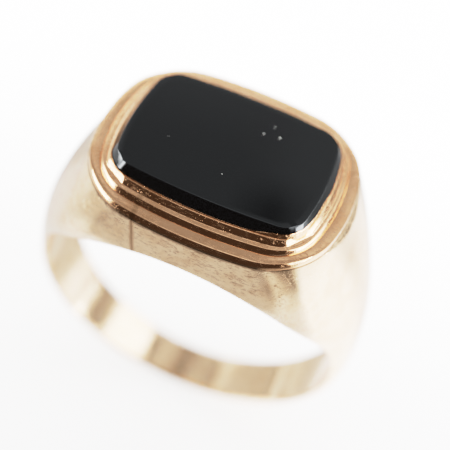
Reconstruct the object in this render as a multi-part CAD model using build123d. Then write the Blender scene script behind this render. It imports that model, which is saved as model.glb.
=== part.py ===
from build123d import *
import math
import os
from collections import namedtuple

os.makedirs("parts", exist_ok=True)

# A man's signet ring with a cushion-shaped black onyx, all sizes in millimetres.
# The origin is the centre of the finger hole. X runs along the stone's long side,
# Y is the axis of the finger, and +Z goes up through the middle of the stone.

# ---- driving dimensions ------------------------------------------------------
FINGER_R = 9.75          # finger hole, inside diameter 19.5
BAND_OUTER_R = 10.75     # outside of the band at the sides of the finger
HEAD_BASE_Z = 12.20      # top of the ring body, underside of the stepped frame

# The head's outlines are four-sided cushions: half sizes, the radius of the long
# sides, the radius of the short sides, and the radius of the corners.
Cushion = namedtuple("Cushion", "half_x half_y r_long r_short r_corner")
TABLE = Cushion(5.74, 4.03, 47.5, 16.0, 1.44)        # flat top of the stone
RIM = Cushion(6.07, 4.62, 25.1, 14.0, 1.77)          # where the metal meets the stone
FRAME_TOP = Cushion(7.23, 5.98, 25.3, 10.9, 3.91)    # outer edge of the wide ledge
FRAME_FLARE = 0.26       # how far the frame's outer slope spreads below that edge

TABLE_Z = 13.72
RIM_Z = 13.19
GIRDLE_Z = 13.00         # widest line of the stone, hidden under the rim
STONE_BASE_Z = 11.55
STONE_BASE_BEVEL = 0.15

# The frame steps down from the rim. Each station is how far out it lies, as a
# share of the way from RIM to FRAME_TOP, and its height.
RIM_LAND = 0.045
SLOPE_1_FOOT = 0.184
COLLET_OUT = 0.385
SLOPE_2_HEAD = 0.404
SLOPE_2_FOOT = 0.588
RIM_LAND_Z = 13.20
LEDGE_1_Z = 12.89        # top of the step wire, outer edge of the narrow ledge
LEDGE_1_RISE = 0.01      # the ledge's fall towards its outer edge
LEDGE_2_Z = 12.58
FRAME_EDGE_Z = 12.55

COLLET_FOOT_Z = 11.15
BEARING_TOP_Z = 11.43
BEARING_W = 0.60
CEMENT_W = 0.50

SIDE_PLATE_Y = 5.16      # inner face of a side plate at the collet's foot
SIDE_PLATE_DRAFT = 0.135  # how much that face leans in for each mm down
HEAD_WELL_X = 5.30       # half length of the hollow under the stone
FINGER_PLATE_T = 0.75
WINDOW_X = 3.6           # half sizes of the opening behind the stone
WINDOW_Y = 2.6
WINDOW_R = 1.2

SEAM_X = -2.92           # solder seam of the front side plate
SEAM_W = 0.14
SEAM_LEAN = -6.0         # degrees from upright

# Level sections of the ring body from the frame down to the finger's centre line:
# height, half length, half width, then the radii of wall, shoulder end and corner.
HEAD_STATIONS = [
    (HEAD_BASE_Z, 7.49, 6.24, 25.56, 11.16, 4.17),
    (10.8, 8.12, 6.20, 36.0, 9.8, 3.50),
    (9.0, 8.96, 6.02, 70.0, 8.6, 2.90),
    (7.0, 9.72, 5.29, 150.0, 7.4, 2.40),
    (5.0, 10.28, 4.19, 400.0, 6.4, 2.00),
    (2.5, 10.64, 3.09, 400.0, 5.4, 1.50),
    (0.0, BAND_OUTER_R, 2.54, 400.0, 4.8, 1.05),
]
# Radial sections round the back of the finger: angle from the top, then the same.
BAND_STATIONS = [
    (120, 10.75, 2.12, 400.0, 4.4, 0.80),
    (150, 10.70, 1.85, 400.0, 4.2, 0.70),
    (180, 10.65, 1.68, 400.0, 4.0, 0.65),
]
CORE_R = 5.0             # inner end of the radial sections, well inside the finger hole
CORE_CROSSES_Z = 8.0     # above this height the level sections reach past the middle

OVERSIZE = 30.0          # reach of the cutting solids, well beyond the ring
OVERSHOOT = 1.0          # how far a cut runs past the face it leaves
SEAM_REACH = 12.0        # height of the seam's slab, taller than the plate it crosses
SEAM_MID_Z = HEAD_BASE_Z - 1.5

FRAME_BASE = Cushion(*[size + FRAME_FLARE for size in FRAME_TOP])


# ---- outlines ------------------------------------------------------------------
def mix(a, b, share):
    """The cushion that lies a given share of the way from a to b."""
    return Cushion(*[p + (q - p) * share for p, q in zip(a, b)])


def grown(cushion, distance):
    return Cushion(*[size + distance for size in cushion])


def frame_line(share):
    return mix(RIM, FRAME_TOP, share)


GIRDLE = mix(TABLE, RIM, (TABLE_Z - GIRDLE_Z) / (TABLE_Z - RIM_Z))
COLLET_WALL = frame_line(COLLET_OUT)


def corner_points(c):
    """Ends and middle of one corner arc: on the long side, midway, on the short side."""
    long_y = c.half_y - c.r_long
    short_x = c.half_x - c.r_short
    reach_long = c.r_long - c.r_corner
    reach_short = c.r_short - c.r_corner
    span = math.hypot(short_x, long_y)
    along = (span ** 2 + reach_long ** 2 - reach_short ** 2) / (2 * span)
    across = math.sqrt(reach_long ** 2 - along ** 2)
    ux, uy = short_x / span, -long_y / span
    cx = ux * along + uy * across
    cy = long_y + uy * along - ux * across
    if cx < 0 or cy < 0:
        cx = ux * along - uy * across
        cy = long_y + uy * along + ux * across
    on_long = (cx * c.r_long / reach_long, long_y + (cy - long_y) * c.r_long / reach_long)
    on_short = (short_x + (cx - short_x) * c.r_short / reach_short, cy * c.r_short / reach_short)
    mx = (on_long[0] + on_short[0]) / 2 - cx
    my = (on_long[1] + on_short[1]) / 2 - cy
    reach = c.r_corner / math.hypot(mx, my)
    return on_long, (cx + mx * reach, cy + my * reach), on_short


def arc(*points):
    return Edge.make_three_point_arc(*[Vector(*p) for p in points])


def cushion_wire(c, z):
    """The whole cushion outline at one height: two long, two short and four corner arcs."""
    (lx, ly), (mx, my), (sx, sy) = corner_points(c)
    edges = [
        arc((sx, -sy, z), (c.half_x, 0, z), (sx, sy, z)),
        arc((sx, sy, z), (mx, my, z), (lx, ly, z)),
        arc((lx, ly, z), (0, c.half_y, z), (-lx, ly, z)),
        arc((-lx, ly, z), (-mx, my, z), (-sx, sy, z)),
        arc((-sx, sy, z), (-c.half_x, 0, z), (-sx, -sy, z)),
        arc((-sx, -sy, z), (-mx, -my, z), (-lx, -ly, z)),
        arc((-lx, -ly, z), (0, -c.half_y, z), (lx, -ly, z)),
        arc((lx, -ly, z), (mx, -my, z), (sx, -sy, z)),
    ]
    return Wire(edges)


def stack(*levels):
    """A solid through cushion outlines at rising heights, with straight slopes between."""
    return Solid.make_loft([cushion_wire(c, z) for c, z in levels], ruled=True)


def body_section(plane, c, core):
    """Half a cushion on a plane, from its inner end out to the rounded shoulder end."""
    (lx, ly), (mx, my), (sx, sy) = corner_points(c)
    wall_y = c.half_y - c.r_long + math.sqrt(c.r_long ** 2 - core ** 2)
    half_x = (core + lx) / 2
    half_y = c.half_y - c.r_long + math.sqrt(c.r_long ** 2 - half_x ** 2)
    edges = [
        arc((core, -wall_y), (half_x, -half_y), (lx, -ly)),
        arc((lx, -ly), (mx, -my), (sx, -sy)),
        arc((sx, -sy), (c.half_x, 0), (sx, sy)),
        arc((sx, sy), (mx, my), (lx, ly)),
        arc((lx, ly), (half_x, half_y), (core, wall_y)),
        Edge.make_line((core, wall_y), (core, -wall_y)),
    ]
    return plane * Wire(edges)


# ---- the ring body, before it is divided into its pieces --------------------------
def round_bar(radius):
    """A bar along the finger, longer than the ring is wide."""
    return Rot(90, 0, 0) * Cylinder(radius, 2 * OVERSIZE)


def ring_body():
    """Both halves of the body: level sections down to the sides, radial ones below."""
    sections = []
    for z, half_x, half_y, wall, end, corner in HEAD_STATIONS:
        core = CORE_R * (1 - z / CORE_CROSSES_Z)
        plane = Plane(origin=(0, 0, z), x_dir=(1, 0, 0), z_dir=(0, 0, 1))
        sections.append(body_section(plane, Cushion(half_x, half_y, wall, end, corner), core))
    past_bottom = [(360 - s[0],) + s[1:] for s in reversed(BAND_STATIONS[:-1])]
    for angle, *sizes in BAND_STATIONS + past_bottom:
        turn = math.radians(angle)
        outward = (math.sin(turn), 0, math.cos(turn))
        back = (-math.cos(turn), 0, math.sin(turn))
        plane = Plane(origin=(0, 0, 0), x_dir=outward, z_dir=back)
        sections.append(body_section(plane, Cushion(*sizes), CORE_R))
    swept = Solid.make_loft(sections)
    right = swept & Pos(OVERSIZE, 0, 0) * Box(2 * OVERSIZE, 2 * OVERSIZE, 2 * OVERSIZE)
    left = mirror(right, about=Plane.YZ)
    return (right + left) - round_bar(FINGER_R)


def beyond_side_plane(side):
    """Everything outside the leaning inner face of a side plate; side is -1 at the front."""
    foot_y = SIDE_PLATE_Y - SIDE_PLATE_DRAFT * COLLET_FOOT_Z
    top_y = SIDE_PLATE_Y + SIDE_PLATE_DRAFT * (OVERSIZE - COLLET_FOOT_Z)
    profile = Polyline((side * foot_y, 0), (side * top_y, OVERSIZE),
                       (side * OVERSIZE, OVERSIZE), (side * OVERSIZE, 0), close=True)
    return extrude(Plane.YZ * make_face(profile), amount=OVERSIZE, both=True)


def side_plate(body, side):
    return body & beyond_side_plane(side)


def seam_slab():
    return Pos(SEAM_X, 0, SEAM_MID_Z) * Rot(0, SEAM_LEAN, 0) * Box(SEAM_W, OVERSIZE, SEAM_REACH)


def front_plates(body):
    """The front side plate's two lengths and the solder that joins them."""
    plate = side_plate(body, -1)
    solder = plate & seam_slab()
    halves = (plate - seam_slab()).solids()
    halves = sorted(halves, key=lambda s: s.center().X)
    return halves[0], halves[-1], solder


def well():
    """The hollow of the head under the stone, down through the finger hole."""
    return Pos(0, 0, OVERSIZE / 2) * Box(2 * HEAD_WELL_X, OVERSIZE, OVERSIZE)


def shank(body):
    """The band and both shoulders, which carry the head between the two side plates."""
    inner = body - beyond_side_plane(-1) - beyond_side_plane(1)
    pocket = stack((COLLET_WALL, COLLET_FOOT_Z), (COLLET_WALL, HEAD_BASE_Z + OVERSHOOT))
    return inner - well() - pocket


def finger_plate():
    """The curved floor of the head, with an opening behind the stone."""
    curved = round_bar(FINGER_R + FINGER_PLATE_T) - round_bar(FINGER_R)
    floor = (curved & well()) - beyond_side_plane(-1) - beyond_side_plane(1)
    window = extrude(RectangleRounded(2 * WINDOW_X, 2 * WINDOW_Y, WINDOW_R), amount=OVERSIZE)
    return floor - window


# ---- the head ------------------------------------------------------------------
def collet_bore():
    return stack((COLLET_WALL, COLLET_FOOT_Z - OVERSHOOT), (COLLET_WALL, RIM_LAND_Z + OVERSHOOT))


def frame_plate():
    """The base of the stepped frame: outer slope and wide ledge."""
    plate = stack((FRAME_BASE, HEAD_BASE_Z), (FRAME_TOP, FRAME_EDGE_Z),
                  (frame_line(SLOPE_2_FOOT), LEDGE_2_Z))
    return plate - collet_bore()


def step_wire():
    """The second step, a sloped wire laid round the collet."""
    wire = stack((frame_line(SLOPE_2_FOOT), LEDGE_2_Z), (frame_line(SLOPE_2_HEAD), LEDGE_1_Z))
    return wire - collet_bore()


def stone_socket():
    return stack((GIRDLE, COLLET_FOOT_Z - OVERSHOOT), (GIRDLE, GIRDLE_Z), (TABLE, TABLE_Z))


def collet():
    """The wall round the stone, with its rim rubbed over onto the stone's bevel."""
    wall = stack((COLLET_WALL, COLLET_FOOT_Z), (COLLET_WALL, LEDGE_1_Z),
                 (frame_line(SLOPE_1_FOOT), LEDGE_1_Z + LEDGE_1_RISE),
                 (frame_line(RIM_LAND), RIM_LAND_Z))
    return wall - stone_socket()


def ring_of(width, low_z, high_z):
    """A flat ring inside the collet, reaching in from its wall by a given width."""
    outer = stack((GIRDLE, low_z), (GIRDLE, high_z))
    inside = grown(GIRDLE, -width)
    return outer - stack((inside, low_z - OVERSHOOT), (inside, high_z + OVERSHOOT))


def onyx():
    """The stone: level base, upright girdle, and a bevel up to the flat table."""
    return stack((grown(GIRDLE, -STONE_BASE_BEVEL), STONE_BASE_Z),
                 (GIRDLE, STONE_BASE_Z + STONE_BASE_BEVEL), (GIRDLE, GIRDLE_Z), (TABLE, TABLE_Z))


def build():
    body = ring_body()
    plate_left, plate_right, solder = front_plates(body)
    return {
        "shank": shank(body),
        "front_plate_left": plate_left,
        "front_plate_right": plate_right,
        "front_plate_solder": solder,
        "back_plate": side_plate(body, 1),
        "finger_plate": finger_plate(),
        "frame_plate": frame_plate(),
        "step_wire": step_wire(),
        "collet": collet(),
        "bearing": ring_of(BEARING_W, COLLET_FOOT_Z, BEARING_TOP_Z),
        "setting_cement": ring_of(CEMENT_W, BEARING_TOP_Z, STONE_BASE_Z),
        "onyx": onyx(),
    }


for node, piece in build().items():
    export_step(piece, f"parts/{node}.step")
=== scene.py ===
import math

import bmesh
import bpy
import numpy as np
from mathutils import Matrix, Vector


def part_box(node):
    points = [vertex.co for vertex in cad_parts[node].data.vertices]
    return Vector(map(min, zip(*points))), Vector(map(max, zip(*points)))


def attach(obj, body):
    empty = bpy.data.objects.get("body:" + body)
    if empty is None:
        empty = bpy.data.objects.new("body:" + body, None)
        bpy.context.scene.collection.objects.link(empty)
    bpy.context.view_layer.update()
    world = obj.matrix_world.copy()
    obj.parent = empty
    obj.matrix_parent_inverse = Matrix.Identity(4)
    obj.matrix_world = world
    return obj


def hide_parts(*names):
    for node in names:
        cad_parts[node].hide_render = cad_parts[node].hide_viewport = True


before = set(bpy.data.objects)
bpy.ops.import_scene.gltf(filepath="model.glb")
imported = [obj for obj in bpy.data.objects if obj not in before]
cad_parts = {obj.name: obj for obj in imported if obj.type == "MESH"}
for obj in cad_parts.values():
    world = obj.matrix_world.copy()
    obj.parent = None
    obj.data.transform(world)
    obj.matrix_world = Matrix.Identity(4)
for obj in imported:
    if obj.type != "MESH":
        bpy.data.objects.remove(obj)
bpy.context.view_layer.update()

# A signet ring on a pale table. Shapes are worked out in millimetres and made in metres.
# X runs along the stone, Y is the axis of the finger, +Z goes up through the stone.
MM = 0.001


def cad_low(node):
    return [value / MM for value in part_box(node)[0]]


def cad_high(node):
    return [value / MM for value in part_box(node)[1]]


# ---- sizes taken from the frame ------------------------------------------------
FRAME_X, FRAME_Y, LEDGE_2_Z = cad_high("frame_plate")
HEAD_BASE_Z = cad_low("frame_plate")[2]
LEDGE_1_Z = cad_high("step_wire")[2]
COLLET_FOOT_Z = cad_low("collet")[2]
RIM_LAND_Z = cad_high("collet")[2]
TABLE_Z = cad_high("onyx")[2]
STONE_BASE_Z = cad_low("onyx")[2]
FLOOR_Z = cad_low("shank")[2]

# ---- sizes of the ring body ----------------------------------------------------
FINGER_R = 9.75
BAND_OUTER_R = 10.75
HOLE_ROUND = 0.17        # rounding between the finger hole and the side faces
OVER_Z = 12.7            # the body is made up to here, then cut off level at HEAD_BASE_Z

# Level sections from the frame down to the finger's centre line: height, half length,
# half width, then the radii of wall, shoulder end and corner.
HEAD_STATIONS = [
    (HEAD_BASE_Z, 7.49, 6.24, 25.56, 11.16, 4.50),
    (10.8, 8.12, 6.20, 36.0, 9.8, 3.50),
    (9.0, 8.96, 6.02, 70.0, 8.6, 2.90),
    (7.0, 9.72, 5.29, 150.0, 7.4, 2.40),
    (5.0, 10.28, 4.19, 400.0, 6.4, 2.00),
    (2.5, 10.64, 3.09, 400.0, 5.4, 1.50),
    (0.0, BAND_OUTER_R, 2.54, 400.0, 4.8, 1.05),
]
# Radial sections round the back of the finger: angle from the top, then the same.
BAND_STATIONS = [
    (120, 10.75, 2.12, 400.0, 4.4, 0.80),
    (150, 10.70, 1.85, 400.0, 4.2, 0.70),
    (180, 10.65, 1.68, 400.0, 4.0, 0.65),
]
SIDE_PLATE_Y = 5.16      # inner face of a side plate at the collet's foot
SIDE_PLATE_DRAFT = 0.135
HEAD_WELL_X = 5.30
DUST = [(2.21, 2.01, 0.045), (1.30, 1.84, 0.032), (1.67, 2.64, 0.024), (0.31, -2.00, 0.020),
        (-3.30, -0.90, 0.014)]   # specks on the stone: place on the table, radius
SEAM_X = -2.92
SEAM_W = 0.14
SEAM_LEAN = math.radians(-6.0)
SEAM_MID_Z = HEAD_BASE_Z - 1.5

# ---- sizes of the head: half length, half width, radii of long side, short side, corner
TABLE = np.array((5.74, 4.03, 47.5, 16.0, 1.44))
RIM = np.array((6.07, 4.62, 25.1, 14.0, 1.77))
FRAME_TOP = np.array((7.23, 5.98, 25.3, 10.9, 3.91))
FRAME_FOOT = np.array((FRAME_X, FRAME_Y, 25.56, 11.16, 4.50))
RIM_Z = RIM_LAND_Z - 0.01
GIRDLE_Z = 13.00
STONE_BASE_BEVEL = 0.15
RIM_LAND = 0.045         # shares of the way from RIM to FRAME_TOP
SLOPE_1_FOOT = 0.184
COLLET_OUT = 0.385
FRAME_SPAN = 1.26        # mean distance from RIM to FRAME_TOP
BEVEL_SPAN = 0.46        # mean distance from TABLE to RIM, level
GIRDLE_SHARE = (TABLE_Z - GIRDLE_Z) / (TABLE_Z - RIM_Z)
ROLL_SLOPES = (34, 78)   # slope of the frame's outside at its top and at its foot
ROLL_STEPS = 10
LIP_T = 0.035            # thickness of the rim where it lies on the stone
# Where the rim is rubbed further over the stone: direction in degrees on the outline
# as seen from above, spread, and extra reach as a share of the bevel.
LIP_SWELLS = [(-52, 7, 0.20), (-38, 12, 0.40), (-14, 12, 0.28), (180, 14, 0.12), (45, 12, 0.15)]
# The frame's ledge grows wider towards both ends: where along the frame and how much.
WIDE_START, WIDE_FULL, WIDE_FROM, WIDE_SHARE = 0.78, 0.97, 0.72, 0.86
CORNER_FACET = 0.045     # how much the stone's bevel is cut away flat at its corners
LIP_LEAST = 0.05         # reach of the rim where nothing swells it
LIP_RAGGED = (23, 37, 59, 83, 131)   # waves round the outline that make its edge uneven
# Flats worn on the rim: heading right of -Y, depth.
RIM_FLATS = [(-32, 0.11), (56, 0.16)]


# ---- outlines ------------------------------------------------------------------
def corner_geometry(c):
    """Centre of the corner arc and where it meets the long and the short arc."""
    half_x, half_y, r_long, r_short, r_corner = c
    long_y = half_y - r_long
    short_x = half_x - r_short
    reach_long = r_long - r_corner
    reach_short = r_short - r_corner
    span = math.hypot(short_x, long_y)
    along = (span ** 2 + reach_long ** 2 - reach_short ** 2) / (2 * span)
    across = math.sqrt(max(0.0, reach_long ** 2 - along ** 2))
    ux, uy = short_x / span, -long_y / span
    cx = ux * along + uy * across
    cy = long_y + uy * along - ux * across
    if cx < 0 or cy < 0:
        cx = ux * along - uy * across
        cy = long_y + uy * along + ux * across
    on_long = (cx * r_long / reach_long, long_y + (cy - long_y) * r_long / reach_long)
    on_short = (short_x + (cx - short_x) * r_short / reach_short, cy * r_short / reach_short)
    return (cx, cy), on_long, on_short


def cushion_y(c, x):
    """Half width of a cushion at distances x from its middle."""
    half_x, half_y, r_long, r_short, r_corner = c
    (cx, cy), on_long, on_short = corner_geometry(c)
    x = np.abs(x)
    wall = half_y - r_long + np.sqrt(np.maximum(r_long ** 2 - x ** 2, 0))
    corner = cy + np.sqrt(np.maximum(r_corner ** 2 - (x - cx) ** 2, 0))
    end = np.sqrt(np.maximum(r_short ** 2 - (x - half_x + r_short) ** 2, 0))
    return np.where(x < on_long[0], wall, np.where(x < on_short[0], corner, end))


def arc_points(centre, start, end, count):
    """Points along an arc from start towards end, without the end point."""
    a = math.atan2(start[1] - centre[1], start[0] - centre[0])
    b = math.atan2(end[1] - centre[1], end[0] - centre[0])
    radius = math.hypot(start[0] - centre[0], start[1] - centre[1])
    angles = a + (b - a) * np.arange(count) / count
    return np.stack((centre[0] + radius * np.cos(angles), centre[1] + radius * np.sin(angles)), 1)


SHORT_STEPS, CORNER_STEPS, LONG_STEPS = 26, 26, 44


def cushion_loop(c):
    """The whole outline, anticlockwise from the +X end, evenly divided along each arc."""
    half_x, half_y, r_long, r_short, r_corner = c
    centre, on_long, on_short = corner_geometry(c)
    quarter = np.concatenate((
        arc_points((half_x - r_short, 0), (half_x, 0), on_short, SHORT_STEPS),
        arc_points(centre, on_short, on_long, CORNER_STEPS),
        arc_points((0, half_y - r_long), on_long, (0, half_y), LONG_STEPS),
        [(0, half_y)],
    ))
    left = quarter[::-1][1:] * (-1, 1)
    upper = np.concatenate((quarter, left))
    return np.concatenate((upper, upper[1:-1][::-1] * (1, -1)))


def spline(knots, values):
    """A natural cubic spline through rows of values, straight beyond its ends."""
    x, y = np.array(knots, float), np.array(values, float)
    n, h = len(x), np.diff(np.array(knots, float))
    system = np.eye(n)
    right = np.zeros_like(y)
    for i in range(1, n - 1):
        system[i, i - 1:i + 2] = h[i - 1], 2 * (h[i - 1] + h[i]), h[i]
        right[i] = 6 * ((y[i + 1] - y[i]) / h[i] - (y[i] - y[i - 1]) / h[i - 1])
    bend = np.linalg.solve(system, right)

    def at(t):
        i = int(np.clip(np.searchsorted(x, t) - 1, 0, n - 2))
        a, b = (x[i + 1] - t) / h[i], (t - x[i]) / h[i]
        curve = (a ** 3 - a) * bend[i] + (b ** 3 - b) * bend[i + 1]
        if not 0 <= b <= 1:
            slope = (y[i + 1] - y[i]) / h[i]
            edge = x[0] if b < 0 else x[-1]
            pull = -(2 * bend[i] + bend[i + 1]) if b < 0 else bend[i] + 2 * bend[i + 1]
            start = y[0] if b < 0 else y[-1]
            return start + (slope + pull * h[i] / 6) * (t - edge)
        return a * y[i] + b * y[i + 1] + curve * h[i] ** 2 / 6

    return at


# ---- mesh helpers ----------------------------------------------------------------
def grid_faces(rows, columns, wrap_rows):
    """Quads over a grid whose columns close on themselves."""
    i = np.arange(rows if wrap_rows else rows - 1)[:, None]
    j = np.arange(columns)[None, :]
    k, l = (i + 1) % rows, (j + 1) % columns
    quads = np.stack((i * columns + j, i * columns + l, k * columns + l, k * columns + j), -1)
    return quads.reshape(-1, 4)


def mesh_object(name, points, faces, material, sharp=35.0):
    """A closed, smooth-shaded piece from points in millimetres."""
    mesh = bpy.data.meshes.new(name)
    mesh.from_pydata((np.asarray(points) * MM).tolist(), [], [list(f) for f in faces])
    return finish_piece(name, mesh, material, sharp)


def finish_piece(name, mesh, material, sharp):
    bm = bmesh.new()
    bm.from_mesh(mesh)
    bmesh.ops.remove_doubles(bm, verts=bm.verts, dist=0.0005 * MM)
    bmesh.ops.dissolve_degenerate(bm, edges=bm.edges, dist=0.0002 * MM)
    bmesh.ops.recalc_face_normals(bm, faces=bm.faces)
    bm.to_mesh(mesh)
    bm.free()
    mesh.shade_smooth()
    mesh.set_sharp_from_angle(angle=math.radians(sharp))
    piece = bpy.data.objects.new(name, mesh)
    bpy.context.scene.collection.objects.link(piece)
    mesh.materials.append(material)
    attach(piece, "root")
    return piece


def rounded(corners, steps=5):
    """A closed outline with each corner (x, y, radius) rounded by a short curve."""
    points = []
    count = len(corners)
    for i, (x, y, radius) in enumerate(corners):
        here = np.array((x, y))
        if radius == 0:
            points.append(here)
            continue
        before = np.array(corners[i - 1][:2]) - here
        after = np.array(corners[(i + 1) % count][:2]) - here
        a = here + before * min(0.45, radius / np.hypot(*before))
        b = here + after * min(0.45, radius / np.hypot(*after))
        for t in np.linspace(0, 1, steps + 1):
            points.append((1 - t) ** 2 * a + 2 * t * (1 - t) * here + t ** 2 * b)
    return points


# ---- ring body -------------------------------------------------------------------
TURN_STEPS = 360         # sections from the top to the bottom of the band, on one side
SIDE_STEPS = 76          # points round half of a section, from the hole's rounding out
ROUND_STEPS = 7          # on the rounding
HOLE_STEPS = 12          # across half of the finger hole's wall
LOWER_SAMPLES, UPPER_SAMPLES, CLOSING_SAMPLES = 400, 240, 30
BEND_WEIGHT = 0.9        # bends draw this many points for each one drawn by length
LONGEST_REACH = 14.0
HALVINGS = 50
BLUNT_WIDTH = 0.02       # a section ends in a flat face if it is still wider than this


def body_sizes():
    """The body's section sizes as a function of the way down from the frame."""
    ways = [HEAD_BASE_Z - s[0] for s in HEAD_STATIONS]
    turns = BAND_STATIONS + [(360 - s[0],) + s[1:] for s in reversed(BAND_STATIONS[:-1])]
    ways += [HEAD_BASE_Z + math.radians(s[0] - 90) * BAND_OUTER_R for s in turns]
    return spline(ways, [s[1:] for s in HEAD_STATIONS + turns])


def lower_section(sizes, turn):
    """Radii and half widths of a section at or below the finger's centre line."""
    size = sizes(HEAD_BASE_Z + (turn - math.pi / 2) * BAND_OUTER_R)
    radius = FINGER_R + (size[0] - FINGER_R) * np.sin(np.linspace(0, math.pi / 2, LOWER_SAMPLES))
    width = cushion_y(size, radius)
    width[-1] = 0
    return radius, width


def outer_reach(sizes, turn):
    """How far the body reaches along a turn above the centre line: its end or OVER_Z."""
    sin, cos = math.sin(turn), math.cos(turn)
    low, high = FINGER_R, OVER_Z / cos
    if high * sin > sizes(HEAD_BASE_Z - OVER_Z)[0]:
        high = min(high, LONGEST_REACH)
        for _ in range(HALVINGS):
            mid = (low + high) / 2
            inside = mid * sin < sizes(HEAD_BASE_Z - mid * cos)[0]
            low, high = (mid, high) if inside else (low, mid)
    return high


def upper_section(sizes, turn):
    """Radii and half widths of a section above the finger's centre line."""
    sin, cos = math.sin(turn), math.cos(turn)
    high = outer_reach(sizes, turn)
    radius = FINGER_R + (high - FINGER_R) * np.sin(np.linspace(0, math.pi / 2, UPPER_SAMPLES))
    width = np.array([cushion_y(sizes(HEAD_BASE_Z - r * cos), np.array(r * sin)) for r in radius])
    if width[-1] > BLUNT_WIDTH:
        closed = np.linspace(width[-1], 0, CLOSING_SAMPLES)[1:]
        radius = np.concatenate((radius, np.full(len(closed), high)))
        width = np.concatenate((width, closed))
    else:
        width[-1] = 0
    return radius, width


def evenly_spread(path, count):
    """Points along a path, spaced by its length and closer together where it bends."""
    step = np.diff(path, axis=0)
    length = np.hypot(*step.T)
    heading = np.unwrap(np.arctan2(step[:, 1], step[:, 0]))
    bend = np.concatenate(([0], np.abs(np.diff(heading))))
    share = length / length.sum() + BEND_WEIGHT * bend / max(bend.sum(), 1e-6)
    way = np.concatenate(([0], np.cumsum(share)))
    even = np.linspace(0, way[-1], count)
    return np.stack((np.interp(even, way, path[:, 0]), np.interp(even, way, path[:, 1])), 1)


def half_section(sizes, turn, side_steps):
    """Outer half of the section at an angle from the top, as (radius, half width)."""
    lower = math.cos(turn) <= 1e-9
    radius, width = lower_section(sizes, turn) if lower else upper_section(sizes, turn)
    keep = radius > FINGER_R + HOLE_ROUND
    edge_width = np.interp(FINGER_R + HOLE_ROUND, radius, width)
    path = np.stack((np.concatenate(([FINGER_R + HOLE_ROUND], radius[keep])),
                     np.concatenate(([edge_width], width[keep]))), 1)
    outer = evenly_spread(path, side_steps)
    low = np.array((FINGER_R, width[0] - HOLE_ROUND))
    corner = np.array((FINGER_R, width[0]))
    t = np.linspace(0, 1, ROUND_STEPS + 1)[:-1, None]
    round_edge = (1 - t) ** 2 * low + 2 * t * (1 - t) * corner + t ** 2 * outer[0]
    across = np.linspace(0, low[1], HOLE_STEPS + 1)[:-1]
    inside = np.stack((np.full(HOLE_STEPS, FINGER_R), across), 1)
    return np.concatenate((inside, round_edge, outer))


def body_mesh():
    """The whole ring body as one closed grid, before it is divided into its pieces."""
    sizes = body_sizes()
    turns = np.linspace(0, math.pi, TURN_STEPS + 1)
    halves = np.array([half_section(sizes, turn, SIDE_STEPS) for turn in turns])
    radius, width = halves[:, :, 0], halves[:, :, 1]
    radius = np.concatenate((radius, radius[:, 1:-1][:, ::-1]), 1)
    width = np.concatenate((-width, width[:, 1:-1][:, ::-1]), 1)
    right = np.stack((radius * np.sin(turns)[:, None], width, radius * np.cos(turns)[:, None]), -1)
    left = right[1:-1][::-1] * (-1, 1, 1)
    points = np.concatenate((right, left))
    faces = grid_faces(len(points), points.shape[1], True)
    mesh = bpy.data.meshes.new("body")
    mesh.from_pydata(points.reshape(-1, 3).tolist(), [], faces.tolist())
    return mesh


def fill_openings(bm):
    """Closes each opening with flat faces."""
    rim = [e for e in bm.edges if e.is_boundary]
    if rim:
        bmesh.ops.triangle_fill(bm, use_beauty=True, use_dissolve=False, edges=rim)


def cut_off(bm, point, normal):
    """Takes away what lies on the normal's side of a plane and closes the cut."""
    bmesh.ops.bisect_plane(bm, geom=bm.verts[:] + bm.edges[:] + bm.faces[:], dist=1e-6,
                           plane_co=point, plane_no=normal, clear_outer=True)
    fill_openings(bm)


def side_plane(side):
    """A point and the outward normal of a side plate's inner face."""
    return (0, side * SIDE_PLATE_Y, COLLET_FOOT_Z), Vector((0, side, -SIDE_PLATE_DRAFT)).normalized()


def seam_plane(side):
    across = Vector((math.cos(SEAM_LEAN), 0, -math.sin(SEAM_LEAN)))
    middle = Vector((SEAM_X, 0, SEAM_MID_Z))
    return middle + across * side * SEAM_W / 2, across * side


def cut_piece(body, planes):
    bm = bmesh.new()
    bm.from_mesh(body)
    cut_off(bm, (0, 0, HEAD_BASE_Z), (0, 0, 1))
    for point, normal in planes:
        cut_off(bm, point, normal)
    bmesh.ops.recalc_face_normals(bm, faces=bm.faces)
    return bm


def flipped(plane):
    return plane[0], -Vector(plane[1])


def body_piece(name, bm, material, node):
    bmesh.ops.scale(bm, vec=(MM, MM, MM), verts=bm.verts)
    mesh = bpy.data.meshes.new(name)
    bm.to_mesh(mesh)
    bm.free()
    piece = finish_piece(name, mesh, material, 30.0)
    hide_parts(node)
    return piece


def make_shank(body, material):
    """The band and both shoulders, hollow under the stone."""
    bm = cut_piece(body, [side_plane(-1), side_plane(1)])
    for side in (-1, 1):
        bmesh.ops.bisect_plane(bm, geom=bm.verts[:] + bm.edges[:] + bm.faces[:], dist=1e-6,
                               plane_co=(side * HEAD_WELL_X, 0, 0), plane_no=(side, 0, 0))
    well = [f for f in bm.faces
            if f.calc_center_median().z > 0 and abs(f.calc_center_median().x) < HEAD_WELL_X]
    bmesh.ops.delete(bm, geom=well, context="FACES")
    for side in (-1, 1):
        rim = [e for e in bm.edges if e.is_boundary and e.verts[0].co.x * side > 0]
        bmesh.ops.triangle_fill(bm, use_beauty=True, use_dissolve=False, edges=rim, normal=(side, 0, 0))
    bmesh.ops.recalc_face_normals(bm, faces=bm.faces)
    return body_piece("ring_shank", bm, material, "shank")


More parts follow.
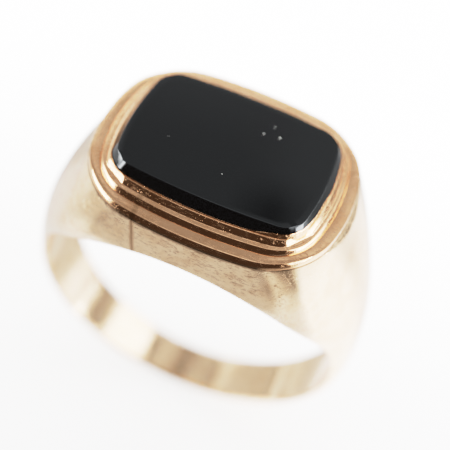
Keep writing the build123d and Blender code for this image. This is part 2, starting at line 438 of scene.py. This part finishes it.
def make_plates(body, satin, solder):
    front, back = side_plane(-1), side_plane(1)
    left_cut = (seam_plane(-1)[0], -seam_plane(-1)[1])
    right_cut = (seam_plane(1)[0], -seam_plane(1)[1])
    pieces = [
        ("plate_front_left", [flipped(front), left_cut], satin, "gold_satin", "front_plate_left"),
        ("plate_front_right", [flipped(front), right_cut], satin, "gold_satin", "front_plate_right"),
        ("plate_front_seam", [flipped(front), seam_plane(-1), seam_plane(1)], solder,
         "gold_solder", "front_plate_solder"),
        ("plate_back", [flipped(back)], satin, "gold_satin", "back_plate"),
    ]
    for name, planes, material, slot, node in pieces:
        body_piece(name, cut_piece(body, planes), material, node)


# ---- stepped frame ---------------------------------------------------------------
def frame_line(share):
    return RIM + (FRAME_TOP - RIM) * share


def stone_line(share):
    return TABLE + (RIM - TABLE) * share


def ring_piece(name, profile, material, node, shift=None):
    """A closed ring: outlines at given heights, joined round and round."""
    loops = []
    for outline, z in profile:
        loop = cushion_loop(outline)
        if shift:
            loop = shift(loop, outline)
        loops.append(np.column_stack((loop, np.full(len(loop), z))))
    points = np.array(loops)
    faces = grid_faces(len(points), points.shape[1], True)
    piece = mesh_object(name, points.reshape(-1, 3), faces, material, 50.0)
    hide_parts(node)
    return piece


def frame_profile(corners):
    """Corners (share, height, radius) of a ring of the frame, rounded, as outlines."""
    scaled = [(share * FRAME_SPAN, z, radius) for share, z, radius in corners]
    return [(frame_line(x / FRAME_SPAN), z) for x, z in rounded(scaled)]


def wide_ends(loop, outline):
    """Widens the ledge at both ends of the frame, where its outside stands steeper."""
    edge = cushion_loop(FRAME_FOOT)
    out = np.clip((outline[0] - frame_line(WIDE_FROM)[0]) / (FRAME_TOP - frame_line(WIDE_FROM))[0], 0, 1)
    end = np.clip((np.abs(edge[:, 0]) / FRAME_X - WIDE_START) / (WIDE_FULL - WIDE_START), 0, 1)
    share = WIDE_SHARE * out * end * end * (3 - 2 * end)
    return loop + (edge - loop) * share[:, None]


def make_frame_plate(material):
    """The lowest step: a crowned ledge that rolls over into a convex outside."""
    corners = [(COLLET_OUT, HEAD_BASE_Z, 0.0), (COLLET_OUT, LEDGE_2_Z - 0.004, 0.0),
               (0.72, LEDGE_2_Z - 0.004, 0.10), (0.87, LEDGE_2_Z - 0.020, 0.08),
               (0.985, LEDGE_2_Z - 0.046, 0.0)]
    profile = frame_profile(corners)
    edge = profile[-1][1]
    first, last = (math.radians(slope) for slope in ROLL_SLOPES)
    for turn in np.linspace(first, last, ROLL_STEPS)[:-1]:
        out = (math.sin(turn) - math.sin(first)) / (math.sin(last) - math.sin(first))
        down = (math.cos(first) - math.cos(turn)) / (math.cos(first) - math.cos(last))
        profile.append((FRAME_TOP + (FRAME_FOOT - FRAME_TOP) * out, edge - (edge - HEAD_BASE_Z) * down))
    profile.append((FRAME_FOOT, HEAD_BASE_Z))
    return ring_piece("frame_base", profile, material, "frame_plate", wide_ends)


def make_step_wire(material):
    """The middle step: a wire with a rounded top that stands steeply on the ledge."""
    foot = LEDGE_2_Z - 0.004
    corners = [(COLLET_OUT, foot, 0.0), (COLLET_OUT, LEDGE_1_Z - 0.005, 0.0)]
    corners += [(COLLET_OUT + out / FRAME_SPAN, LEDGE_1_Z - down, 0.04)
                for out, down in ((0.06, 0.008), (0.115, 0.05), (0.195, 0.155), (0.245, 0.235))]
    corners += [(COLLET_OUT + 0.275 / FRAME_SPAN, foot, 0.0)]
    return ring_piece("frame_step", frame_profile(corners), material, "step_wire")


def flattened(loop):
    """An outline with the worn flats pressed into it."""
    for turn, depth in RIM_FLATS:
        heading = np.array((math.sin(math.radians(turn)), -math.cos(math.radians(turn))))
        reach = loop @ heading
        over = np.maximum(reach - (reach.max() - depth), 0)
        loop = loop - heading * over[:, None]
    return loop


def lip_reach(loop):
    """How far the rim is rubbed in over the bevel, as a share of it, along an outline."""
    x, y = loop[:, 0], loop[:, 1]
    around = np.arctan2(y / RIM[1], x / RIM[0])
    reach = np.full(len(loop), LIP_LEAST)
    for middle, spread, height in LIP_SWELLS:
        gap = (around - math.radians(middle) + math.pi) % (2 * math.pi) - math.pi
        reach += height * np.exp(-(gap / math.radians(spread)) ** 2)
    nibble = sum(np.sin(around * k + k * k * 0.7) / math.sqrt(k) for k in LIP_RAGGED)
    rough = 0.12 + 0.9 * (reach - LIP_LEAST)
    return np.clip(reach + 0.16 * rough * nibble, 0.01, 0.85)


def make_collet(material):
    """The wall round the stone. Its rim is rubbed over the bevel by an uneven amount."""
    rows = []
    for outline, z in frame_profile([
            (COLLET_OUT, COLLET_FOOT_Z, 0.0), (COLLET_OUT, LEDGE_1_Z - 0.008, 0.0),
            (COLLET_OUT - 0.05, LEDGE_1_Z, 0.05), (SLOPE_1_FOOT + 0.07, LEDGE_1_Z, 0.04),
            (SLOPE_1_FOOT + 0.01, LEDGE_1_Z + 0.12, 0.06), (RIM_LAND, RIM_LAND_Z - 0.01, 0.05),
            (0.0, RIM_LAND_Z - 0.015, 0.0)]):
        loop = cushion_loop(outline)
        if z > LEDGE_1_Z - 0.001 and outline[0] < frame_line(SLOPE_1_FOOT + 0.10)[0]:
            loop = flattened(loop)
        rows.append(np.column_stack((loop, np.full(len(loop), z))))
    low, high = cushion_loop(stone_line(1.0)), cushion_loop(stone_line(0.0))
    reach = lip_reach(low)
    for share, lift in ((0.5, LIP_T), (0.85, LIP_T * 0.8), (1.0, LIP_T * 0.4), (1.0, 0.0), (0.5, 0.0)):
        along = (reach * share)[:, None]
        loop = low + (high - low) * along
        z = RIM_Z + (TABLE_Z - RIM_Z) * along + lift
        rows.append(np.column_stack((loop, z)))
    girdle = cushion_loop(stone_line(GIRDLE_SHARE))
    for z in (GIRDLE_Z, COLLET_FOOT_Z):
        rows.append(np.column_stack((girdle, np.full(len(girdle), z))))
    points = np.array(rows)
    faces = grid_faces(len(points), points.shape[1], True)
    piece = mesh_object("collet_rim", points.reshape(-1, 3), faces, material, 60.0)
    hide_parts("collet")
    return piece


def make_onyx(material):
    """The stone, closed, with a softly broken edge round its table."""
    girdle = stone_line(GIRDLE_SHARE)
    corners = [(GIRDLE_SHARE * BEVEL_SPAN, GIRDLE_Z, 0.0), (0.0, TABLE_Z, 0.035),
               (-2.0, TABLE_Z, 0.0)]
    bevel = [(stone_line(x / BEVEL_SPAN), z) for x, z in rounded(corners, 6)[:-1]]
    base = [(girdle - STONE_BASE_BEVEL, STONE_BASE_Z), (girdle, STONE_BASE_Z + STONE_BASE_BEVEL)]
    loops = []
    for outline, z in base + bevel:
        loop = cushion_loop(outline)
        loops.append(np.column_stack((loop, np.full(len(loop), z))))
    shrink = np.linspace(1, 0, 16)[1:-1]
    top = [loops[-1] * (s, s, 1) for s in shrink]
    bottom = [loops[0] * (s, s, 1) for s in shrink[::-1]]
    points = np.array(bottom + loops + top)
    rows, columns = points.shape[:2]
    faces = grid_faces(rows, columns, False).tolist()
    flat = points.reshape(-1, 3)
    middle_low, middle_high = len(flat), len(flat) + 1
    flat = np.concatenate((flat, [(0, 0, STONE_BASE_Z), (0, 0, TABLE_Z)]))
    for j in range(columns):
        k = (j + 1) % columns
        last = (rows - 1) * columns
        faces.append((middle_low, k, j))
        faces.append((middle_high, last + j, last + k))
    piece = mesh_object("onyx_stone", flat, faces, material, 12.0)
    facet_corners(piece)
    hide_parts("onyx")
    return piece


def facet_corners(piece):
    """Cuts a small flat facet across the bevel at each corner of the stone."""
    bm = bmesh.new()
    bm.from_mesh(piece.data)
    table, rim = corner_geometry(TABLE), corner_geometry(RIM)
    for side_x in (-1, 1):
        for side_y in (-1, 1):
            across = Vector((side_x, side_y, 0)).normalized()
            ends = []
            for (centre, _, _), sizes, z in ((table, TABLE, TABLE_Z), (rim, RIM, RIM_Z)):
                reach = sizes[4] - CORNER_FACET
                ends.append(Vector((centre[0] * side_x + across.x * reach,
                                    centre[1] * side_y + across.y * reach, z)))
            along = Vector((-across.y, across.x, 0))
            normal = along.cross(ends[1] - ends[0]).normalized()
            if normal.dot(across) < 0:
                normal = -normal
            bmesh.ops.bisect_plane(bm, geom=bm.verts[:] + bm.edges[:] + bm.faces[:],
                                   dist=1e-8, plane_co=ends[0] * MM, plane_no=normal,
                                   clear_outer=True)
            fill_openings(bm)
    bmesh.ops.recalc_face_normals(bm, faces=bm.faces)
    bm.to_mesh(piece.data)
    bm.free()
    piece.data.shade_smooth()
    piece.data.set_sharp_from_angle(angle=math.radians(12.0))


# ---- materials -------------------------------------------------------------------
class Nodes:
    """Short calls for building a node tree."""

    def __init__(self, tree):
        self.tree = tree
        tree.nodes.clear()

    def add(self, kind, **values):
        node = self.tree.nodes.new(kind)
        for key, value in values.items():
            if hasattr(node, key):
                setattr(node, key, value)
            else:
                self.put(node.inputs[key.replace("_", " ")], value)
        return node

    def put(self, socket, value):
        if isinstance(value, bpy.types.NodeSocket):
            self.tree.links.new(value, socket)
        elif isinstance(value, bpy.types.Node):
            self.tree.links.new(value.outputs[0], socket)
        else:
            socket.default_value = value

    def math(self, operation, *values):
        node = self.tree.nodes.new("ShaderNodeMath")
        node.operation = operation
        for socket, value in zip(node.inputs, values):
            self.put(socket, value)
        return node.outputs[0]

    def ramp(self, value, low, high, to_low=0.0, to_high=1.0):
        node = self.tree.nodes.new("ShaderNodeMapRange")
        node.interpolation_type = "SMOOTHSTEP"
        for name, v in (("Value", value), ("From Min", low), ("From Max", high),
                        ("To Min", to_low), ("To Max", to_high)):
            self.put(node.inputs[name], v)
        return node.outputs[0]

    def mix(self, share, a, b):
        node = self.tree.nodes.new("ShaderNodeMix")
        node.data_type = "RGBA"
        self.put(node.inputs[0], share)
        self.put(node.inputs[6], a)
        self.put(node.inputs[7], b)
        return node.outputs[2]

    def noise(self, vector, scale, detail=3.0, rough=0.5):
        node = self.tree.nodes.new("ShaderNodeTexNoise")
        self.put(node.inputs["Vector"], vector)
        node.inputs["Scale"].default_value = scale
        node.inputs["Detail"].default_value = detail
        node.inputs["Roughness"].default_value = rough
        return node.outputs[0]

    def stretched(self, vector, turn, scale):
        node = self.tree.nodes.new("ShaderNodeMapping")
        self.put(node.inputs["Vector"], vector)
        node.inputs["Rotation"].default_value = turn
        node.inputs["Scale"].default_value = scale
        return node.outputs[0]


def rgb(r, g, b):
    return (r, g, b, 1.0)


def place_nodes(n):
    """Object position in millimetres."""
    position = n.add("ShaderNodeTexCoord").outputs["Object"]
    return n.stretched(position, (0, 0, 0), (1 / MM,) * 3)


def dust(n, place):
    """A few specks on the table: 1 inside a speck, 0 elsewhere."""
    total = None
    for x, y, size in DUST:
        gap = n.add("ShaderNodeVectorMath", operation="DISTANCE")
        n.put(gap.inputs[0], place)
        n.put(gap.inputs[1], (x, y, TABLE_Z))
        speck = n.ramp(gap.outputs["Value"], size * 0.4, size, 1.0, 0.0)
        total = speck if total is None else n.math("MAXIMUM", total, speck)
    return total


def hair_lines(n, place, turns, length, thin):
    """Short hairline scratches running in several directions."""
    total = None
    for k, turn in enumerate(turns):
        lines = n.noise(n.stretched(place, turn, (1.0 / length, 12.0, 12.0)), 1.0, 1.0)
        line = n.ramp(lines, thin, thin + 0.05)
        patch = n.noise(n.stretched(place, turn, (0.9, 1.1, 0.8)), 0.9 + 0.13 * k, 1.0)
        line = n.math("MULTIPLY", line, n.ramp(patch, 0.50, 0.62))
        total = line if total is None else n.math("MAXIMUM", total, line)
    return total


def seam_stain(n, place):
    """1 close to the front seam, fading out on both sides of it."""
    split = n.add("ShaderNodeSeparateXYZ")
    wander = n.math("MULTIPLY", n.math("SUBTRACT", n.noise(place, 1.6, 2.0), 0.5), 0.25)
    n.put(split.inputs[0], place)
    lean = n.math("MULTIPLY", n.math("SUBTRACT", split.outputs["Z"], SEAM_MID_Z), math.tan(SEAM_LEAN))
    gap = n.math("SUBTRACT", n.math("SUBTRACT", split.outputs["X"], SEAM_X), lean)
    gap = n.math("ABSOLUTE", n.math("ADD", gap, wander))
    front = n.ramp(split.outputs["Y"], -5.0, -4.5, 1.0, 0.0)
    return n.math("MULTIPLY", front, n.ramp(gap, 0.05, 0.24, 1.0, 0.0))


def joint_line_and_shade_under_frame(n, place):
    """1 on a dark joint line round the frame's foot and in the uneven dark band of painted shade on the
    front wall just below the frame.
    """
    split = n.add("ShaderNodeSeparateXYZ")
    n.put(split.inputs[0], place)
    uneven = n.noise(place, 2.2, 4.0, 0.7)
    depth = n.math("ADD", split.outputs["Z"], n.math("MULTIPLY", n.math("SUBTRACT", uneven, 0.5), 0.55))
    below = n.ramp(split.outputs["Z"], HEAD_BASE_Z + 0.02, HEAD_BASE_Z + 0.06, 1.0, 0.0)
    # a dark joint line all round the frame's foot
    line = n.ramp(split.outputs["Z"], HEAD_BASE_Z - 0.10, HEAD_BASE_Z - 0.05)
    front = n.ramp(split.outputs["Y"], -5.4, -4.4, 1.0, 0.0)
    # painted shade: an uneven band on the front wall just below the frame
    dark_band = n.math("MULTIPLY", front, n.ramp(depth, HEAD_BASE_Z - 0.24, HEAD_BASE_Z - 0.02))
    dark_band = n.math("MAXIMUM", dark_band, line)
    return n.math("MULTIPLY", below, dark_band)


HAIR_TURNS = [(0.3, 0.5, 0.2), (1.1, -0.4, 1.3), (-0.7, 0.9, 2.2), (0.2, 1.4, -0.8), (0.9, 2.1, 0.4),
              (0.1, 1.0, 0.9), (-0.4, -0.9, 0.3)]
# dark brown: grime in scratches and pits, and painted shade under the frame
TARNISH_AND_SHADE = (0.15, 0.075, 0.035)
# colour of the painted shade in inner corners
CORNER_SHADE = (0.13, 0.06, 0.028)
STAIN = (0.42, 0.24, 0.12)
DULL_SHARES = (0.88, 0.83, 0.78)   # what a dull blotch keeps of red, green and blue
WORN_SHARE = 0.42                  # what a worn speck keeps of the colour
CORNER_SHADE_REACH = 0.16                  # how far the painted shade reaches from an inner corner
HAIR_LENGTH, HAIR_THIN = 0.50, 0.625


def gold_shade(n, place, colour, marks, dots, worn, blotch, speck, grime):
    """The metal's colour with duller blotches, worn specks, grime in scratches, a stain along the seam,
    a dark joint line, and painted shade under the frame and in inner corners.
    """
    dull = [c * k for c, k in zip(colour, DULL_SHARES)]
    shade = n.mix(n.ramp(blotch, 0.40, 0.66), rgb(*colour), rgb(*dull))
    shade = n.mix(worn, shade, rgb(*[c * WORN_SHARE for c in colour]))
    shade = n.mix(n.math("MULTIPLY", n.math("MAXIMUM", marks, dots), grime), shade, rgb(*TARNISH_AND_SHADE))
    shade = n.mix(n.math("MULTIPLY", seam_stain(n, place), 0.60), shade, rgb(*STAIN))
    # painted shade under the frame, with the dark joint line
    shade = n.mix(n.math("MULTIPLY", joint_line_and_shade_under_frame(n, place), 0.72), shade, rgb(*TARNISH_AND_SHADE))
    # painted shade: inner corners found by ambient occlusion are darkened, made uneven by noise
    corner = n.add("ShaderNodeAmbientOcclusion", samples=8)
    corner.inputs["Distance"].default_value = CORNER_SHADE_REACH * MM
    uneven = n.math("MULTIPLY", n.math("SUBTRACT", speck, 0.5), 0.5)
    corner_shade = n.math("ADD", corner.outputs["AO"], uneven)
    return n.mix(n.ramp(corner_shade, 0.22, 0.50, 0.62, 0.0), shade, rgb(*CORNER_SHADE))


def summed(n, start, *terms):
    """start plus each value times its weight."""
    total = start
    for value, weight in terms:
        total = n.math("ADD", total, n.math("MULTIPLY", value, weight))
    return total


def gold(name, colour, rough, hair, pits, wave, grime, mottle):
    """Worn gold: hairlines, pits, blotches, soft waves, grime in scratches and pits, and painted shade
    in the corners and under the frame.
    """
    material = bpy.data.materials.new(name)
    material.use_nodes = True
    n = Nodes(material.node_tree)
    place = place_nodes(n)
    marks = hair_lines(n, place, HAIR_TURNS, HAIR_LENGTH, HAIR_THIN)
    dots = n.ramp(n.noise(place, 6.5, 2.0), 0.64, 0.72)
    blotch = n.noise(place, 0.8, 5.0, 0.62)
    speck = n.noise(place, 3.2, 4.0, 0.7)
    fine = n.noise(place, 15.0, 3.0)
    swell = n.noise(place, 0.5, 2.0)
    worn = n.math("MULTIPLY", n.ramp(speck, 0.54, 0.74), mottle)
    shade = gold_shade(n, place, colour, marks, dots, worn, blotch, speck, grime)
    roughness = summed(n, rough, (blotch, 0.08), (marks, 0.20), (worn, 0.25), (fine, 0.05))
    height = summed(n, 0.0, (marks, -hair), (dots, -pits), (swell, wave), (speck, pits * 0.8),
                    (fine, hair * 0.3))
    bump = n.add("ShaderNodeBump", Height=height, Strength=1.0, Distance=MM)
    shader = n.add("ShaderNodeBsdfPrincipled", Base_Color=shade, Metallic=1.0,
                   Roughness=roughness, Normal=bump)
    n.add("ShaderNodeOutputMaterial", Surface=shader)
    return material


def onyx_material():
    """Black onyx: near-black body, high polish, a few specks of dust."""
    material = bpy.data.materials.new("onyx_black")
    material.use_nodes = True
    n = Nodes(material.node_tree)
    place = place_nodes(n)
    haze = n.noise(place, 0.35, 3.0)
    colour = n.mix(dust(n, place), rgb(0.0008, 0.0008, 0.0009), rgb(0.75, 0.75, 0.72))
    rough = n.math("ADD", 0.004, n.math("MULTIPLY", haze, 0.012))
    shader = n.add("ShaderNodeBsdfPrincipled", Base_Color=colour, Roughness=rough, IOR=1.60)
    shader.inputs["Specular Tint"].default_value = rgb(0.90, 0.96, 1.0)
    n.add("ShaderNodeOutputMaterial", Surface=shader)
    return material


def cement_material():
    material = bpy.data.materials.new("setting_cement_grey")
    material.use_nodes = True
    n = Nodes(material.node_tree)
    place = place_nodes(n)
    grain = n.noise(place, 6.0, 4.0)
    colour = n.mix(grain, rgb(0.10, 0.09, 0.08), rgb(0.22, 0.20, 0.17))
    bump = n.add("ShaderNodeBump", Height=grain, Strength=0.6, Distance=0.05 * MM)
    shader = n.add("ShaderNodeBsdfPrincipled", Base_Color=colour, Roughness=0.85, Normal=bump)
    n.add("ShaderNodeOutputMaterial", Surface=shader)
    return material


# ---- stage -----------------------------------------------------------------------
# Light levels, in one scale. Polished gold shows them in its reflections. Directions are
# degrees right of -Y and degrees above the horizon.
SOFT_LIGHT = 4.2         # even light that only the table top gathers
BACKDROP = 4.0           # what the camera sees past the table top
BACK_WALL = 0.80
OVERHEAD = 0.38          # between the wall and the ceiling, where the stone looks
CEILING = 1.35
DARK_ROOM = 0.13
# Panels: middle, half width, lower and upper edge, how soft, level. A later one covers an
# earlier one where they meet.
PANELS = [
    (-71, 22, -4, 32, 5, 7.0),             # left side, with a strong strip at its foot
    (-70, 20, -8, 7, 3, 18.0),
    (-147, 8, 44, 62, 5, 0.75),            # high up, in the ledges' ends
    (170, 14, 46, 64, 5, 0.92),
    (88, 28, 8, 38, 5, 6.5),               # right side, with a strong strip at its foot
    (95, 24, -7, 7, 3, 18.0),
    (122, 8, 8, 25, 4, 0.30),              # dark gap beside the oval inside the band
    (134, 19, 28, 56, 5, 6.0),             # the oval
    (180, 30, 6, 36, 8, 2.0),              # back wall, lit low down
    (-143, 12, 22, 40, 6, 3.0),
    (151, 5, 47, 58, 3, 0.15),             # dark line past the oval
    (-177, 4, 42, 55, 7, 0.52),            # lighter right end of the stone
    (-172.2, 1.9, 50.3, 52.1, 0.4, 0.0),   # dark patch in the stone
]
OPENING = (6, 54, 64, 8, 0.055)  # the tent's open side: middle, half width, top, soft, level
OPENING_TINT = (1.0, 0.72, 0.56)
# The table top as polished metal sees it: middle, half width, level close by, where that
# level ends, where the next begins, the next level.
FLOOR_PARTS = [
    (85, 62, 4.2, 48.0, 95.0, 3.0),
    (45, 20, 1.6, 48.0, 72.0, 0.30),
    (138, 24, 2.9, 40.0, 62.0, 0.55),
    (-90, 50, 2.0, 26.0, 44.0, 0.95),
    (-100, 24, 1.5, 60.0, 130.0, 1.6),
    (-145, 25, 1.5, 26.0, 42.0, 0.62),
    (-126, 8, 0.9, 46.0, 58.0, 2.4),
    (180, 30, 1.0, 40.0, 80.0, 0.62),
]
FRONT_FLOOR = (-7, 37, 0.80, 28.0, 45.0)
MID_FLOOR = 0.62
FLOOR_HALF = 400.0


def unit_heading(n, direction):
    flat = n.add("ShaderNodeVectorMath", operation="MULTIPLY")
    n.put(flat.inputs[0], direction)
    n.put(flat.inputs[1], (1, 1, 0))
    unit = n.add("ShaderNodeVectorMath", operation="NORMALIZE")
    n.put(unit.inputs[0], flat.outputs[0])
    return unit.outputs[0]


def towards(n, heading, middle, half_width, soft):
    """1 within half_width degrees of a heading, falling to 0 over soft degrees."""
    turn = math.radians(middle)
    dot = n.add("ShaderNodeVectorMath", operation="DOT_PRODUCT")
    n.put(dot.inputs[0], heading)
    n.put(dot.inputs[1], (math.sin(turn), -math.cos(turn), 0))
    inner = math.cos(math.radians(max(half_width - soft / 2, 0.0)))
    outer = math.cos(math.radians(half_width + soft / 2))
    return n.ramp(dot.outputs["Value"], outer, inner)


def above(n, height, angle, soft):
    """0 below an angle over the horizon, 1 above it."""
    return n.ramp(height, math.sin(math.radians(angle - soft / 2)),
                  math.sin(math.radians(angle + soft / 2)))


def blend_value(n, share, a, b):
    node = n.add("ShaderNodeMix", data_type="FLOAT")
    for socket, value in zip(node.inputs[:1] + node.inputs[2:4], (share, a, b)):
        n.put(socket, value)
    return node.outputs[0]


def lower_right_mask(n, heading, height):
    """The right side of the room, as masks of its part above and below a low line."""
    side = towards(n, heading, 90, 45, 30)
    high = above(n, height, 9, 4)
    return n.math("MULTIPLY", side, high), n.math("MULTIPLY", side, n.math("SUBTRACT", 1.0, high))


def panel_mask(n, heading, height, middle, half_width, low, high, soft):
    mask = n.math("MULTIPLY", towards(n, heading, middle, half_width, soft),
                  above(n, height, low, min(soft, 4)))
    return n.math("SUBTRACT", mask, n.math("MULTIPLY", mask, above(n, height, high, soft)))


def opening_mask(n, heading, height):
    middle, half_width, top, soft, _ = OPENING
    mask = towards(n, heading, middle, half_width, 8)
    return n.math("SUBTRACT", mask, n.math("MULTIPLY", mask, above(n, height, top, soft)))


def room_level(n, heading, height, opening):
    """The level of the room in every direction."""
    level = blend_value(n, above(n, height, 2, 12), DARK_ROOM, BACK_WALL)
    level = blend_value(n, above(n, height, 44.5, 9), level, OVERHEAD)
    level = blend_value(n, above(n, height, 78, 12), level, CEILING)
    upper, lower = lower_right_mask(n, heading, height)
    level = blend_value(n, upper, level, BACK_WALL)
    level = blend_value(n, lower, level, DARK_ROOM)
    for *shape, panel_level in PANELS:
        level = blend_value(n, panel_mask(n, heading, height, *shape), level, panel_level)
    return blend_value(n, opening, level, OPENING[-1])


def make_world():
    """A dark room with bright panels round the table, and an open, unlit front."""
    world = bpy.data.worlds.new("light_tent")
    bpy.context.scene.world = world
    world.use_nodes = True
    n = Nodes(world.node_tree)
    direction = n.add("ShaderNodeTexCoord").outputs["Generated"]
    split = n.add("ShaderNodeSeparateXYZ")
    n.put(split.inputs[0], direction)
    height = split.outputs["Z"]
    heading = unit_heading(n, direction)
    opening = opening_mask(n, heading, height)
    room = room_level(n, heading, height, opening)
    path = n.add("ShaderNodeLightPath")
    strength = blend_value(n, path.outputs["Is Diffuse Ray"], room, SOFT_LIGHT)
    strength = blend_value(n, path.outputs["Is Camera Ray"], strength, BACKDROP)
    tint = n.mix(opening, rgb(1, 1, 1), rgb(*OPENING_TINT))
    tint = n.mix(path.outputs["Is Diffuse Ray"], tint, rgb(1, 1, 1))
    tint = n.mix(path.outputs["Is Camera Ray"], tint, rgb(1, 1, 1))
    background = n.add("ShaderNodeBackground", Strength=strength)
    n.put(background.inputs["Color"], tint)
    n.add("ShaderNodeOutputWorld", Surface=background)


def mirrored_floor(n, place):
    """The level of the table top as it shows in polished metal, darker away from the ring."""
    heading = unit_heading(n, place)
    length = n.add("ShaderNodeVectorMath", operation="LENGTH")
    n.put(length.inputs[0], place)
    far = length.outputs["Value"]
    level = n.ramp(far, 40.0, 90.0, 1.2, MID_FLOOR)
    for middle, half_width, near, reach, end, next_level in FLOOR_PARTS:
        part = n.ramp(far, reach, end, near, next_level)
        level = blend_value(n, towards(n, heading, middle, half_width, 14), level, part)
    middle, half_width, near, reach, end = FRONT_FLOOR
    front = n.ramp(far, reach, end, near, OPENING[-1])
    return blend_value(n, towards(n, heading, middle, half_width, 14), level, front)


def floor_material():
    """A pale table top that glows, with painted light rising from faint at the front to bright at the
    back. Polished metal sees it darker on the camera's side.
    """
    material = bpy.data.materials.new("floor_pale")
    material.use_nodes = True
    n = Nodes(material.node_tree)
    place = place_nodes(n)
    split = n.add("ShaderNodeSeparateXYZ")
    n.put(split.inputs[0], place)
    # painted light: for the camera the table top glows, faintly at the front and brightly at the back
    painted_glow = n.math("ADD", n.ramp(split.outputs["Y"], -30.0, 5.0, 0.05, 0.9),
                  n.ramp(split.outputs["Y"], -5.0, 30.0, 0.0, 3.2))
    paper = n.add("ShaderNodeBsdfPrincipled", Roughness=0.9)
    paper.inputs["Base Color"].default_value = rgb(0.80, 0.80, 0.80)
    paper.inputs["Specular IOR Level"].default_value = 0.0
    paper.inputs["Emission Color"].default_value = rgb(1, 1, 1)
    n.put(paper.inputs["Emission Strength"], painted_glow)
    glow = n.add("ShaderNodeEmission", Strength=mirrored_floor(n, place))
    both = n.add("ShaderNodeMixShader")
    path = n.add("ShaderNodeLightPath")
    n.put(both.inputs[0], path.outputs["Is Glossy Ray"])
    n.put(both.inputs[1], paper)
    n.put(both.inputs[2], glow)
    n.add("ShaderNodeOutputMaterial", Surface=both)
    return material


def make_floor():
    steps = 8
    line = np.linspace(-FLOOR_HALF, FLOOR_HALF, steps + 1)
    x, y = np.meshgrid(line, line, indexing="ij")
    points = np.stack((x, y, np.full_like(x, FLOOR_Z)), -1).reshape(-1, 3) * MM
    side = steps + 1
    faces = [(i * side + j, (i + 1) * side + j, (i + 1) * side + j + 1, i * side + j + 1)
             for i in range(steps) for j in range(steps)]
    mesh = bpy.data.meshes.new("floor")
    mesh.from_pydata(points.tolist(), [], faces)
    mesh.materials.append(floor_material())
    floor = bpy.data.objects.new("floor", mesh)
    bpy.context.scene.collection.objects.link(floor)


FILM_TOP = 8.0           # the brightest light that the film still tells apart
FILM_SHOULDER = [(0.2, 0.2), (0.4, 0.39), (0.6, 0.55), (1.0, 0.72), (1.6, 0.82), (2.4, 0.885),
                 (3.4, 0.93), (5.0, 0.965)]   # light, shown


def set_tone():
    """A film-like shoulder, so bright gold goes pale before it clips."""
    settings = bpy.context.scene.view_settings
    settings.view_transform = "Standard"
    settings.look = "None"
    settings.use_curve_mapping = True
    mapping = settings.curve_mapping
    mapping.white_level = (FILM_TOP,) * 3
    mapping.black_level = (0, 0, 0)
    curve = mapping.curves[3]
    for light, shown in FILM_SHOULDER:
        curve.points.new(light / FILM_TOP, shown)
    mapping.update()


CAMERA_AZIMUTH = math.radians(11.721)
CAMERA_HEIGHT = math.radians(52.181)
CAMERA_ROLL = math.radians(13.326)
CAMERA_TARGET = Vector((0.459, 0.0, 7.008)) * MM
CAMERA_DISTANCE = 67.624 * MM
CAMERA_LENS = 90.69
CAMERA_SHIFT = (0.00932, -0.00410)
CAMERA_SENSOR = 36.0
CAMERA_STOP = 30.0


def make_camera():
    data = bpy.data.cameras.new("camera")
    data.sensor_width = CAMERA_SENSOR
    data.lens = CAMERA_LENS
    data.shift_x, data.shift_y = CAMERA_SHIFT
    data.clip_start, data.clip_end = 1 * MM, 5.0
    camera = bpy.data.objects.new("camera", data)
    bpy.context.scene.collection.objects.link(camera)
    a, e, roll = CAMERA_AZIMUTH, CAMERA_HEIGHT, CAMERA_ROLL
    back = Vector((math.sin(a) * math.cos(e), -math.cos(a) * math.cos(e), math.sin(e)))
    right = Vector((math.cos(a), math.sin(a), 0))
    up = back.cross(right)
    x_axis = right * math.cos(roll) + up * math.sin(roll)
    y_axis = up * math.cos(roll) - right * math.sin(roll)
    turn = Matrix((x_axis, y_axis, back)).transposed().to_4x4()
    camera.matrix_world = Matrix.Translation(CAMERA_TARGET + back * CAMERA_DISTANCE) @ turn
    focus = bpy.data.objects.new("focus", None)
    focus.location = Vector((0.5, -FRAME_Y * 0.9, LEDGE_1_Z)) * MM
    bpy.context.scene.collection.objects.link(focus)
    data.dof.use_dof = True
    data.dof.focus_object = focus
    data.dof.aperture_fstop = CAMERA_STOP
    bpy.context.scene.camera = camera


# ---- the ring --------------------------------------------------------------------
BODY_GOLD = (1.0, 0.69, 0.44)
# painted shade: the frame and rim gold is a redder, darker copy of the body's gold, standing in for the
# deeper orange of the frame's reflections
FRAME_GOLD_SHADED = (1.0, 0.58, 0.33)
SOLDER = (0.50, 0.31, 0.19)
polished = gold("gold_polished_worn", BODY_GOLD, 0.06, 0.0006, 0.001, 0.008, 0.12, 0.05)
bright = gold("gold_frame_worn_shaded", FRAME_GOLD_SHADED, 0.05, 0.0010, 0.002, 0.004, 0.35, 0.22)
rubbed = gold("gold_rim_rubbed_shaded", FRAME_GOLD_SHADED, 0.08, 0.0020, 0.008, 0.012, 0.45, 0.25)
satin = gold("gold_satin_worn", BODY_GOLD, 0.11, 0.0026, 0.003, 0.012, 0.42, 0.12)
solder = gold("gold_solder_dull", SOLDER, 0.30, 0.0040, 0.006, 0.010, 0.5, 0.35)

body = body_mesh()
make_shank(body, polished)
make_plates(body, satin, solder)
make_frame_plate(bright)
make_step_wire(bright)
make_collet(rubbed)
make_onyx(onyx_material())
carried_over = [("finger_plate", satin), ("bearing", satin), ("setting_cement", cement_material())]
for node, material in carried_over:
    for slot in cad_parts[node].material_slots:
        slot.material = material

make_world()
make_floor()
set_tone()
make_camera()
